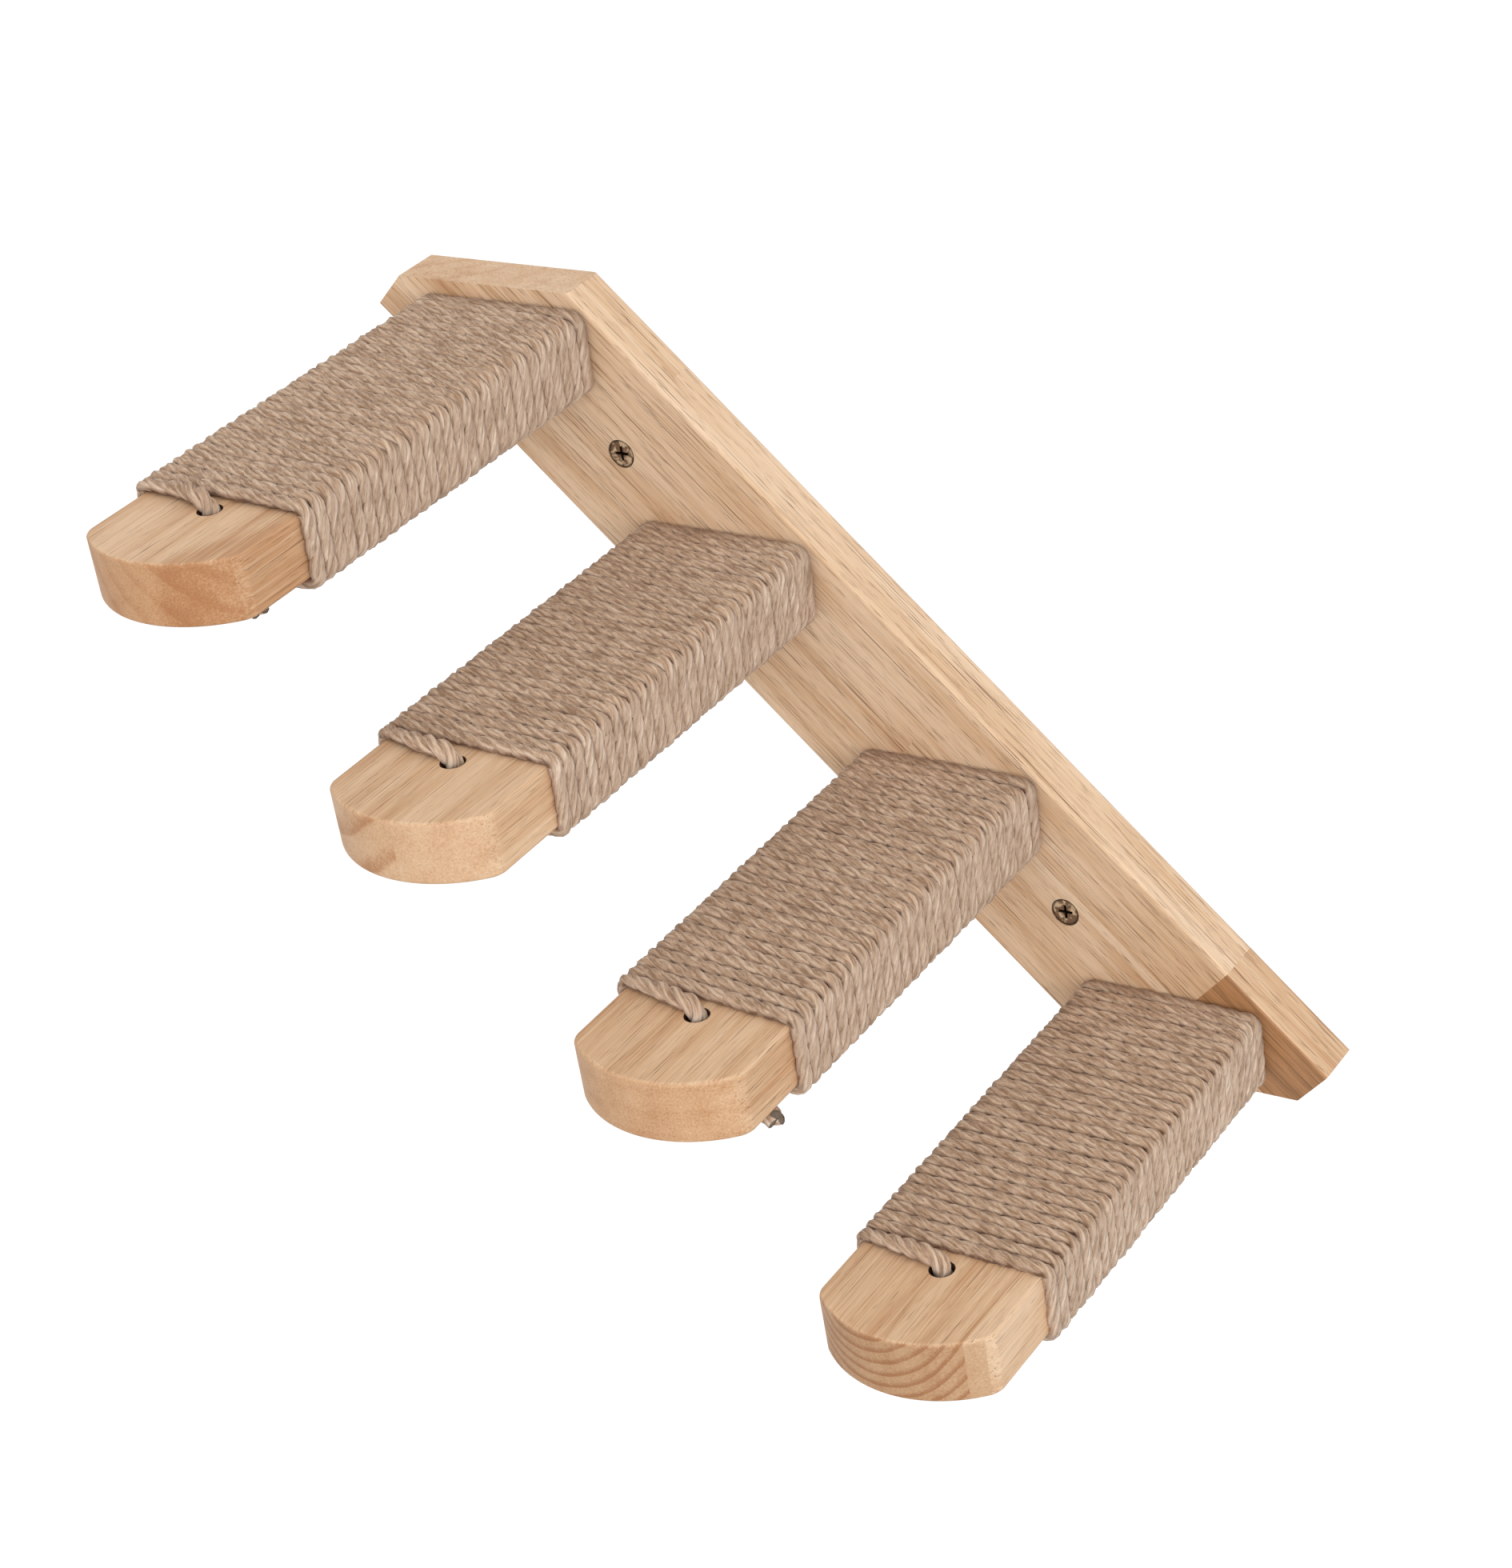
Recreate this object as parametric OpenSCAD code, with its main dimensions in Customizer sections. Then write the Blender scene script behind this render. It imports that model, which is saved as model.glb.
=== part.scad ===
// Cat wall shelf: a slanting plank with four rope-wrapped climbing treads.
// Millimetres. X runs along the wall, Y points into the wall and Z is up.
// The origin is the middle of the plank's back face, which lies on the wall.

/* [Back board] */
// Slope of the plank below the horizontal, in degrees
board_slope = 45; // [40:1:50]
// Width of the plank across its slope
board_width = 65; // [56:1:80]
// Thickness of the plank
board_thickness = 18; // [15:1:24]
// How far the plank's square ends run past the outer treads, along the slope
board_end = 43.1; // [38:0.1:50]
// Board left above the top tread and below the bottom tread
board_margin = 8.5; // [7:0.5:14]
// Radius on the plank's long edges
board_edge_radius = 1.5; // [0.5:0.1:3]

/* [Treads] */
// Distance between neighbouring treads along the slope
tread_pitch = 104.6; // [90:0.1:120]
// Width of a tread
tread_width = 60; // [50:1:70]
// Thickness of a tread
tread_thickness = 21; // [18:0.5:26]
// Depth of the whole shelf, from the wall to the tip of a nose
shelf_depth = 205; // [170:1:240]
// How far the bowed nose stands in front of its corners
nose_bow = 13; // [10:0.5:18]
// Radius on the two front corners of a nose
nose_corner_radius = 8; // [2:0.5:10]
// Radius on the treads' long edges and round the nose
tread_edge_radius = 1.2; // [0.6:0.1:3]

/* [Rope] */
// Thickness of the rope
rope_diameter = 4.4; // [4:0.1:5.5]
// Least gap left between neighbouring turns
turn_gap = 1.3; // [0.6:0.1:2]
// Distance from the tip of the nose back to the rope hole
rope_hole_setback = 35.5; // [32:0.5:46]
// Room round the rope in the hole at the nose
rope_hole_clearance = 1.4; // [0.8:0.1:2]
// Distance from the rope hole back to the last turn
last_turn_setback = 6; // [4:0.5:12]
// How far to the right of the rope hole the tail lies under the tread
rope_tail = 24; // [14:0.5:28]
// How far the tail leans towards the nose
tail_lean = 8; // [0:0.5:12]
// Wood left between the anchor hole and the tread's rear end
anchor_wall = 1.2; // [0.8:0.1:4]
// Depth of the anchor hole in the underside of the tread
anchor_depth = 10; // [8:0.5:13]

/* [Tread screws] */
// Diameter of a tread screw's thread
tread_screw_diameter = 4; // [3:0.5:5]
// Diameter of its plain shank in the plank
tread_screw_shank = 2.8; // [2:0.1:2.9]
// Diameter of its countersunk head
tread_screw_head = 8; // [7:0.5:10]
// Length of a tread screw
tread_screw_length = 45; // [35:1:60]
// Distance between the two screws of a tread
tread_screw_spacing = 32; // [24:1:40]

/* [Wall screws] */
// Diameter of a wall screw's thread
wall_screw_diameter = 5; // [4:0.5:6]
// Diameter of its plain shank in the plank
wall_screw_shank = 3.6; // [3:0.1:3.9]
// Diameter of its countersunk head
wall_screw_head = 10; // [8:0.5:12]
// Length of a wall screw
wall_screw_length = 50; // [40:1:70]

/* [Fits] */
// How far screw heads sit below the wood
head_recess = 0.4; // [0.2:0.1:1]
// Thickness of the straight rim of a screw head
head_rim = 0.6; // [0.4:0.1:1]
// Gap between a screw and the wood that it seats in
seat_gap = 0.1; // [0.05:0.01:0.2]
// Room left in the wood past a screw's tip
point_room = 1; // [0.5:0.1:2]
// Gap between the rope and the wood that it lies on
rope_gap = 0.3; // [0.2:0.05:0.5]

/* [Hidden] */

$fn = 64;
// Cuts reach this far past the faces that they open
past = 1;
// A screw's cross recess, as shares of its head, and its tip, as a share of its shank
recess_share = 0.52;
recess_slot_share = 0.11;
recess_depth_share = 0.22;
tip_share = 0.1;
board_wood = [0.85, 0.70, 0.53];
tread_wood = [0.82, 0.66, 0.48];
rope_jute = [0.62, 0.52, 0.43];
screw_bronze = [0.42, 0.30, 0.19];
screw_zinc = [0.74, 0.73, 0.69];

// The ladder: four treads, centred on the plank
treads = 4;
left = -1;
right = 1;
tread_run = tread_pitch * cos(board_slope);
tread_rise = tread_pitch * sin(board_slope);
outer_tread = (treads - 1) / 2;
board_length = (treads - 1) * tread_pitch + 2 * board_end;
board_height = (treads - 1) * tread_rise + tread_thickness + 2 * board_margin;
// Steps from the middle of the ladder to a wall screw, which lies midway between two treads
wall_screw_step = 1;

// The nose is an arc through the two front corners and the tip
nose_radius = (pow(tread_width / 2, 2) + pow(nose_bow, 2)) / (2 * nose_bow);
nose_centre = shelf_depth - nose_radius;
// Its corners are discs, which meet the sides and the arc at a small angle
corner_meeting = 8;
corner_inset = nose_corner_radius * cos(corner_meeting);
corner_across = tread_width / 2 - corner_inset;
corner_angle = asin(corner_across / (nose_radius - corner_inset));
corner_depth = nose_centre + (nose_radius - corner_inset) * cos(corner_angle);

// The rope is a six-sided tube, measured across its flats
rope_sides = 6;
rope_corner = rope_diameter / 2 / cos(180 / rope_sides);
rope_lift = rope_diameter / 2 + rope_gap;
rope_hole_radius = rope_corner + rope_hole_clearance;
anchor_radius = rope_corner + rope_gap;
rope_hole_depth = shelf_depth - rope_hole_setback;
anchor_place = board_thickness + anchor_wall + anchor_radius;

// The turn's section, an octagon whose sides keep the rope clear of the rounded tread
turn_sides = 8;
half_bend = 180 / turn_sides;
turn_corner = tread_edge_radius + rope_lift;
turn_reach = turn_corner * tan(half_bend);
turn_a = tread_width / 2 - tread_edge_radius + turn_reach;
turn_b = tread_thickness / 2 + rope_lift;
turn_c = tread_width / 2 + rope_lift;
turn_d = tread_thickness / 2 - tread_edge_radius + turn_reach;
turn_points = [[-turn_a, -turn_b], [-turn_c, -turn_d], [-turn_c, turn_d], [-turn_a, turn_b],
    [turn_a, turn_b], [turn_c, turn_d], [turn_c, -turn_d], [turn_a, -turn_b]];
step_lengths = [for (i = [0 : turn_sides - 1])
    i == 0 ? turn_a : norm(turn_points[i] - turn_points[i - 1])];
turn_length = sum_to(step_lengths, turn_sides - 1) + turn_a;
turn_shares = [for (i = [0 : turn_sides - 1]) sum_to(step_lengths, i) / turn_length];

// The first turn leans back against the board, and the rest advance evenly to the last
first_turn = board_thickness + rope_gap + rope_corner;
second_turn = anchor_place + 2 * rope_corner + turn_gap;
last_turn = rope_hole_depth - last_turn_setback;
top_left = 3;
full_turns = 1 + floor((last_turn - second_turn) / (2 * rope_corner + turn_gap) - turn_shares[top_left]);
turn_advance = (last_turn - second_turn) / (full_turns - 1 + turn_shares[top_left]);

// Adds up a list from its start to one of its places
function sum_to(list, last) = last < 0 ? 0 : list[last] + sum_to(list, last - 1);

// A vector of length one
function unit(v) = v / norm(v);

// How far from the wall the rope lies after some turns
function turn_depth(turns) =
    let (leaning = turn_shares[top_left - 1])
    turns < leaning ? anchor_place + (first_turn - anchor_place) * turns / leaning :
    turns < 1 ? first_turn + (second_turn - first_turn) * (turns - leaning) / (1 - leaning) :
    second_turn + turn_advance * (turns - 1);

// How far before a hole's axis a rope turns down into it, clear of the hole's rim
function bend(hole_radius) = hole_radius - rope_diameter / 2 * tan(half_bend);

// The rope's centre line on one tread, from the anchor hole to the tail, about the tread's middle
rope_path = let (
    start_bend = bend(anchor_radius),
    end_bend = bend(rope_hole_radius),
    underside = -tread_thickness / 2)
concat(
    [[0, -anchor_place, underside + anchor_depth - rope_gap],
        [0, -anchor_place, start_bend - turn_b],
        [-start_bend, -anchor_place, -turn_b]],
    [for (turn = [0 : full_turns], i = [0 : turn_sides - 1])
        if (turn < full_turns || i <= top_left)
            [turn_points[i].x, -turn_depth(turn + turn_shares[i]), turn_points[i].y]],
    [[-end_bend, -rope_hole_depth, turn_b],
        [0, -rope_hole_depth, turn_b - end_bend],
        [0, -rope_hole_depth, end_bend - turn_b],
        [end_bend, -rope_hole_depth, -turn_b],
        [rope_tail, -rope_hole_depth - tail_lean, -turn_b]]);

// One ring of the tube, mitred where the centre line bends
function rope_ring(path, i) =
    let (
        last = len(path) - 1,
        before = unit(path[max(i, 1)] - path[max(i, 1) - 1]),
        after = unit(path[min(i, last - 1) + 1] - path[min(i, last - 1)]),
        along = unit(before + after),
        mitre = sqrt(2 / (1 + before * after)),
        out = unit([-along.z, 0, along.x]),
        across = cross(along, out))
    [for (k = [0 : rope_sides - 1])
        let (angle = (k + 0.5) * 360 / rope_sides)
        path[i] + rope_corner * (cos(angle) * mitre * out + sin(angle) * across)];

rope_rings = [for (i = [0 : len(rope_path) - 1]) rope_ring(rope_path, i)];

// Least distance between the corners of rings that lie more than half a turn apart
least_turn_gap = min([for (i = [0 : len(rope_rings) - turn_sides])
    for (j = [i + turn_sides / 2 + 1 : len(rope_rings) - 1], p = rope_rings[i], q = rope_rings[j])
        norm(p - q)]);
echo(str("Turns on a tread: ", full_turns + turn_shares[top_left],
    ", least gap between them in mm: ", least_turn_gap));
echo(str("Rope on a tread in mm: ", sum_to([for (i = [1 : len(rope_path) - 1])
    norm(rope_path[i] - rope_path[i - 1])], len(rope_path) - 2)));

// A rectangle about the origin with round corners
module round_rectangle(width, height, radius) {
    square([width - 2 * radius, height], center = true);
    square([width, height - 2 * radius], center = true);
    for (x = [left, right], y = [left, right])
        translate([x * (width / 2 - radius), y * (height / 2 - radius)])
            circle(r = radius);
}

// Moves its children to a tread, counted from the top
module at_tread(number) {
    step = number - 1 - outer_tread;
    translate([step * tread_run, 0, -step * tread_rise])
        children();
}

// Moves its children to the two screws of a tread, or to one of them
module at_tread_screws(sides = [left, right]) {
    for (side = sides)
        translate([side * tread_screw_spacing / 2, 0, 0])
            rotate([-90, 0, 0])
                children();
}

// Moves its children to a wall screw's place on the plank's front
module at_wall_screw(side) {
    step = side * wall_screw_step;
    translate([step * tread_run, -board_thickness, -step * tread_rise])
        rotate([90, 0, 0])
            children();
}

// Half the outline of a countersunk head from its top to its neck, grown by some room
function head_outline(neck, head, top, room) =
    let (rim = -head_recess - head_rim)
    [[0, top],
        [head / 2 + room, top],
        [head / 2 + room, rim],
        [neck / 2 + room, rim - (head - neck) / 2]];

// A countersunk wood screw that points down, with the wood's face at zero
// Its plain shank runs through the plank, and its thread begins at the plank's far face
module screw(diameter, shank, head, length) {
    tip = -head_recess - length;
    recess_width = head * recess_share;
    recess_slot = head * recess_slot_share;
    recess_depth = head * recess_depth_share;
    difference() {
        rotate_extrude()
            polygon(concat(
                head_outline(shank, head, -head_recess, 0),
                [[shank / 2, (diameter - shank) / 2 - board_thickness],
                    [diameter / 2, -board_thickness],
                    [diameter / 2, tip + diameter],
                    [diameter / 2 * tip_share, tip],
                    [0, tip]]));
        for (turn = [0, 90])
            rotate([0, 0, turn])
                translate([-recess_width / 2, -recess_slot / 2, -head_recess - recess_depth])
                    cube([recess_width, recess_slot, recess_depth + past]);
    }
}

// The room that a screw takes in the wood, a seat gap larger than the screw
module screw_hole(diameter, head, length) {
    hole_floor = -head_recess - length - point_room;
    rotate_extrude()
        polygon(concat(
            head_outline(diameter, head, past, seat_gap),
            [[diameter / 2 + seat_gap, hole_floor], [0, hole_floor]]));
}

module tread_screw_hole() {
    screw_hole(tread_screw_diameter, tread_screw_head, tread_screw_length);
}

module wall_screw_hole() {
    screw_hole(wall_screw_diameter, wall_screw_head, wall_screw_length);
}

// The slanting plank, with square ends trimmed level at the top and the bottom
module back_board() {
    color(board_wood)
        difference() {
            intersection() {
                rotate([0, board_slope, 0])
                    translate([-board_length / 2, -board_thickness / 2, 0])
                        rotate([90, 0, 90])
                            linear_extrude(height = board_length)
                                round_rectangle(board_thickness, board_width, board_edge_radius);
                translate([-board_length / 2, -board_thickness - past, -board_height / 2])
                    cube([board_length, board_thickness + 2 * past, board_height]);
            }
            for (number = [1 : treads])
                at_tread(number)
                    at_tread_screws()
                        tread_screw_hole();
            for (side = [left, right])
                at_wall_screw(side)
                    wall_screw_hole();
        }
}

// A disc as thick as a tread, with round edges
module edge_disc(radius) {
    rotate_extrude()
        intersection() {
            round_rectangle(2 * radius, tread_thickness, tread_edge_radius);
            translate([0, -tread_thickness / 2])
                square([radius, tread_thickness]);
        }
}

// The wood that is taken off a front corner of a nose to make it round
module corner_waste(side) {
    to_side = [side * 2 * nose_corner_radius, 0];
    to_arc = 2 * nose_corner_radius * [side * sin(corner_angle), -cos(corner_angle)];
    translate([side * corner_across, -corner_depth, 0])
        difference() {
            linear_extrude(height = tread_thickness + 2 * past, center = true)
                polygon([[0, 0], to_side, to_side + to_arc, to_arc]);
            edge_disc(nose_corner_radius);
        }
}

// One tread: eased edges, a bowed nose, a rope hole, an anchor hole and two pilot holes
module tread(number) {
    color(tread_wood)
        at_tread(number)
            difference() {
                intersection() {
                    translate([0, -board_thickness, 0])
                        rotate([90, 0, 0])
                            linear_extrude(height = shelf_depth - board_thickness + past)
                                round_rectangle(tread_width, tread_thickness, tread_edge_radius);
                    union() {
                        translate([0, -nose_centre, 0])
                            edge_disc(nose_radius);
                        translate([-tread_width / 2 - past, -nose_centre, -tread_thickness / 2 - past])
                            cube([tread_width + 2 * past, nose_centre, tread_thickness + 2 * past]);
                    }
                }
                for (side = [left, right])
                    corner_waste(side);
                translate([0, -rope_hole_depth, -tread_thickness / 2 - past])
                    cylinder(h = tread_thickness + 2 * past, r = rope_hole_radius);
                translate([0, -anchor_place, -tread_thickness / 2 - past])
                    cylinder(h = anchor_depth + past, r = anchor_radius);
                at_tread_screws()
                    tread_screw_hole();
            }
}

// One winding: an unbroken tube of rope from the anchor hole round the tread and down the rope hole
module rope_wrap(number) {
    rings = len(rope_rings);
    corners = [for (ring = rope_rings, p = ring) p];
    sides = [for (i = [0 : rings - 2], k = [0 : rope_sides - 1])
        let (
            next = (k + 1) % rope_sides,
            a = i * rope_sides + k,
            b = i * rope_sides + next,
            c = a + rope_sides,
            d = b + rope_sides)
        each [[a, c, d], [a, d, b]]];
    end = (rings - 1) * rope_sides;
    caps = [for (k = [1 : rope_sides - 2]) each [[0, k, k + 1], [end, end + k + 1, end + k]]];
    color(rope_jute)
        at_tread(number)
            polyhedron(points = corners, faces = concat(sides, caps));
}

module tread_screw(number, side) {
    color(screw_zinc)
        at_tread(number)
            at_tread_screws([side])
                screw(tread_screw_diameter, tread_screw_shank, tread_screw_head, tread_screw_length);
}

module wall_screw(side) {
    color(screw_bronze)
        at_wall_screw(side)
            screw(wall_screw_diameter, wall_screw_shank, wall_screw_head, wall_screw_length);
}

back_board();
tread(1);  // tread_1
tread(2);  // tread_2
tread(3);  // tread_3
tread(4);  // tread_4
rope_wrap(1);  // rope_wrap_1
rope_wrap(2);  // rope_wrap_2
rope_wrap(3);  // rope_wrap_3
rope_wrap(4);  // rope_wrap_4
tread_screw(1, left);  // tread_1_screw_left
tread_screw(1, right);  // tread_1_screw_right
tread_screw(2, left);  // tread_2_screw_left
tread_screw(2, right);  // tread_2_screw_right
tread_screw(3, left);  // tread_3_screw_left
tread_screw(3, right);  // tread_3_screw_right
tread_screw(4, left);  // tread_4_screw_left
tread_screw(4, right);  // tread_4_screw_right
wall_screw(left);  // wall_screw_upper
wall_screw(right);  // wall_screw_lower
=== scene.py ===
# %% [markdown]
# # A cat ladder for the wall
# The real thing is a slanting plank with four level treads, each wound tightly with jute rope. The
# solids already exist, so this lesson loads them as a fixed frame and gives them their looks: wood,
# rope, screws and light. Nothing here changes a size. The box of the solids is kept, and the floor
# is laid below it.

# %% Load the frame
import math
from collections import namedtuple

import bmesh
import bpy
import numpy as np
from mathutils import Matrix, Vector


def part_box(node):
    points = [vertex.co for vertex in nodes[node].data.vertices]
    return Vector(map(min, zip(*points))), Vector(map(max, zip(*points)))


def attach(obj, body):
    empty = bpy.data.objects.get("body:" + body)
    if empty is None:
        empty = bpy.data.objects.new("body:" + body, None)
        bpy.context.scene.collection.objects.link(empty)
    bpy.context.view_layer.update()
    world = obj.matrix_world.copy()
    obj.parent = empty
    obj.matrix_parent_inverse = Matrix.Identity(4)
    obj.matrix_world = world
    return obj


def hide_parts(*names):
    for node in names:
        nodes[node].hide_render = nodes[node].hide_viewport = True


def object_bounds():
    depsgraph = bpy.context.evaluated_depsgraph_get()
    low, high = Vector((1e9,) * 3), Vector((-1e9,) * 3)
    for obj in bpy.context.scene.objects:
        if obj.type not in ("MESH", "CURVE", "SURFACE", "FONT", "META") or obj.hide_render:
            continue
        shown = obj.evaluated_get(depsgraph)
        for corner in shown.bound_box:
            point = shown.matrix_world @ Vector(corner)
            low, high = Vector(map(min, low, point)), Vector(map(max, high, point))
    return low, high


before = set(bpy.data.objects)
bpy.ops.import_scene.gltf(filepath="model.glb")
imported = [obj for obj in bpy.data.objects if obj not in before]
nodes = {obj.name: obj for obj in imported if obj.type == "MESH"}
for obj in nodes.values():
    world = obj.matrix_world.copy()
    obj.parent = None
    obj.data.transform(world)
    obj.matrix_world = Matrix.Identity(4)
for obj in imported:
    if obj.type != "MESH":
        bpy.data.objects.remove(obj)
solid_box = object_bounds()
scene = bpy.context.scene
MM = 0.001


def rounded(box):
    """The two corners of a box, short enough to print."""
    return [[round(v, 4) for v in corner] for corner in box]


print("solids:", len(nodes), "in the box", rounded(solid_box))

# %% [markdown]
# ## Where the viewer stands
# The ladder is seen from the right, from above, with the camera leaning a little to one side. The
# place, the two angles and the lean were fitted to the corners of the plank and the treads. A turn
# about Z, a tip about X and a lean about the line of sight say the same as a matrix, and can still
# be read by a person.

# %% Camera
view_place = Vector((0.634880, -0.904895, 0.572865))
view_around, view_down, view_lean = (math.radians(a) for a in (35.0581, 28.3561, -8.7007))
view_lens, view_sensor = 86.320, 36
view_shift = (-0.07908, -0.04082)

camera = bpy.data.objects.new("camera", bpy.data.cameras.new("camera"))
scene.collection.objects.link(camera)
camera.data.sensor_width = view_sensor
camera.data.lens = view_lens
camera.data.shift_x, camera.data.shift_y = view_shift
camera.location = view_place
camera.rotation_euler = (
    Matrix.Rotation(view_around, 3, "Z")
    @ Matrix.Rotation(math.pi / 2 - view_down, 3, "X")
    @ Matrix.Rotation(view_lean, 3, "Z")
).to_euler()
scene.camera = camera
scene.view_settings.view_transform = "Standard"
print("camera at", tuple(view_place), "lens", view_lens)

# %% [markdown]
# ## Writing shaders as sums
# A wood or rope finish is mostly arithmetic on a few noises. Wiring that by hand hides the idea, so
# one small class wraps a socket and turns +, -, *, / and ** into Math nodes, and one method makes
# every other node. A formula can then be written as it would be on paper.

# %% A socket in a sum
class Value:
    """A socket that can stand in a sum; each operator adds one Math node."""

    def __init__(self, finish, socket):
        self.finish = finish
        self.socket = socket

    def maths(self, operation, *values):
        """Adds a Math node on the values given, in their order."""
        return self.finish.node("ShaderNodeMath", {"operation": operation}, dict(enumerate(values)))

    def __add__(self, other):
        return self.maths("ADD", self, other)

    def __radd__(self, other):
        return self.maths("ADD", other, self)

    def __sub__(self, other):
        return self.maths("SUBTRACT", self, other)

    def __rsub__(self, other):
        return self.maths("SUBTRACT", other, self)

    def __mul__(self, other):
        return self.maths("MULTIPLY", self, other)

    def __rmul__(self, other):
        return self.maths("MULTIPLY", other, self)

    def __truediv__(self, other):
        return self.maths("DIVIDE", self, other)

    def __rtruediv__(self, other):
        return self.maths("DIVIDE", other, self)

    def __pow__(self, other):
        return self.maths("POWER", self, other)

    def __rpow__(self, other):
        return self.maths("POWER", other, self)

    def __abs__(self):
        return self.maths("ABSOLUTE", self)

    def greater(self, other):
        """The greater of two values."""
        return self.maths("MAXIMUM", self, other)

    def past(self, edge):
        """1 where the value is greater than edge, 0 elsewhere."""
        return self.maths("GREATER_THAN", self, edge)

    def ease(self, start, end):
        """Rises smoothly from 0 at start to 1 at end."""
        return self.finish.node(
            "ShaderNodeMapRange",
            {"interpolation_type": "SMOOTHSTEP"},
            {"Value": self, "From Min": start, "From Max": end},
        )


def distance(first, second):
    """How far from 0 a point is whose two coordinates are given."""
    return (first * first + second * second) ** 0.5


# %% A material
class Finish:
    """A material whose nodes are all made by one method."""

    def __init__(self, name):
        self.material = bpy.data.materials.new(name)
        self.material.use_nodes = True
        self.tree = self.material.node_tree
        self.tree.nodes.clear()

    def node(self, kind, settings=(), sockets=(), out=0):
        """Makes a node: its settings first, then its sockets; gives one of its outputs."""
        made = self.tree.nodes.new(kind)
        for name, value in dict(settings).items():
            setattr(made, name, value)
        for name, value in dict(sockets).items():
            if isinstance(value, Value):
                self.tree.links.new(value.socket, made.inputs[name])
            else:
                made.inputs[name].default_value = value
        return Value(self, made.outputs[out]) if made.outputs else None

    def parts(self, vector):
        """The three numbers of a vector."""
        split = self.node("ShaderNodeSeparateXYZ", {}, {0: vector})
        return [Value(self, socket) for socket in split.socket.node.outputs]

    def place_in_mm(self):
        """The point being shaded, in millimetres of the shared frame."""
        place = self.node("ShaderNodeTexCoord", out="Object")
        return self.parts(self.node("ShaderNodeMapping", {}, {"Vector": place, "Scale": (1 / MM,) * 3}))

    def facing(self):
        """The direction that the surface faces."""
        return self.parts(self.node("ShaderNodeTexCoord", out="Normal"))

    def noise(self, x, y, z, detail=2.0, roughness=0.5):
        """Soft noise, with one lump for each step of 1 in x, y and z."""
        where = self.node("ShaderNodeCombineXYZ", {}, {0: x, 1: y, 2: z})
        sockets = {"Vector": where, "Scale": 1.0, "Detail": detail, "Roughness": roughness}
        return self.node("ShaderNodeTexNoise", {}, sockets)

    def mix(self, factor, first, second, blend="MIX"):
        """Blends two colours."""
        settings = {"data_type": "RGBA", "blend_type": blend}
        return self.node("ShaderNodeMix", settings, {0: factor, 6: first, 7: second}, out=2)

    def surface(self, height, depth, **sockets):
        """Ends the material in a Principled shader, with a bump of a height in units of depth."""
        bump = self.node("ShaderNodeBump", {}, {"Height": height, "Distance": depth})
        names = {name.replace("_", " "): value for name, value in sockets.items()}
        shader = self.node("ShaderNodeBsdfPrincipled", {}, names | {"Normal": bump})
        self.node("ShaderNodeOutputMaterial", {}, {"Surface": shader})
        print("finish", self.material.name, "with", len(self.tree.nodes), "nodes")
        return self.material


# %% Colours
def paint(red, green, blue):
    """A colour as it is picked on a screen, 0 to 255, in the linear numbers that shaders use."""
    steps = [v / 255 for v in (red, green, blue)]
    return (*(s / 12.92 if s <= 0.04045 else ((s + 0.055) / 1.055) ** 2.4 for s in steps), 1.0)


# %% [markdown]
# ## Room and light
# The ladder was pictured on pure white with very soft light, brightest from the right. The floor
# lies well below the ladder, so its shadow stays faint. What the camera sees of the floor is lifted
# to white with Light Path, which adds no light to the object, and mirrors in the metal see the same
# white.

# %% Floor
floor_drop, floor_reach = 0.6, 30.0
floor_level = solid_box[0][2] - floor_drop
floor_colour = paint(205, 205, 205)
floor_lift, floor_glow = 0.85, 1.15


def seen_directly(finish):
    """1 for what the eye sees straight or in a mirror or glass, 0 for light that bounces."""
    kinds = ("Camera", "Glossy", "Transmission")
    rays = [finish.node("ShaderNodeLightPath", out=f"Is {kind} Ray") for kind in kinds]
    return rays[0].greater(rays[1].greater(rays[2]))


floor_mesh = bpy.data.meshes.new("floor")
bm = bmesh.new()
bmesh.ops.create_grid(bm, x_segments=1, y_segments=1, size=floor_reach)
bmesh.ops.translate(bm, vec=(0, 0, floor_level), verts=bm.verts)
bm.to_mesh(floor_mesh)
bm.free()
floor = bpy.data.objects.new("floor", floor_mesh)
scene.collection.objects.link(floor)

pale = Finish("floor_white")
matt = pale.node("ShaderNodeBsdfDiffuse", {}, {"Color": floor_colour})
glow = pale.node("ShaderNodeEmission", {}, {"Color": (1, 1, 1, 1), "Strength": floor_glow})
lifted = pale.node("ShaderNodeMixShader", {}, {0: seen_directly(pale) * floor_lift, 1: matt, 2: glow})
pale.node("ShaderNodeOutputMaterial", {}, {"Surface": lifted})
floor_mesh.materials.append(pale.material)
print("floor at", round(floor_level, 3))

# %% Lamps
sky_strength = 0.75
sky = bpy.data.worlds.new("sky")
sky.use_nodes = True
sky_light = sky.node_tree.nodes["Background"].inputs
sky_light["Color"].default_value = (1, 1, 1, 1)
sky_light["Strength"].default_value = sky_strength
scene.world = sky


def lamp(name, place, size, share):
    """A square lamp that looks at the ladder; share is how bright it makes what faces it."""
    data = bpy.data.lights.new(name, "AREA")
    data.size = size
    data.energy = share * math.pi**2 * Vector(place).length_squared
    made = bpy.data.objects.new(name, data)
    scene.collection.objects.link(made)
    made.location = place
    made.rotation_euler = (-Vector(place)).to_track_quat("-Z", "Y").to_euler()
    print("lamp", name, "at", place, round(data.energy, 1), "W")


lamp("key_right", (1.9, -1.8, 1.0), 2.2, 0.48)
lamp("fill_front", (-1.2, -2.2, 0.8), 1.8, 0.03)
lamp("top_soft", (-0.2, -0.5, 2.4), 1.6, 0.06)

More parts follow.
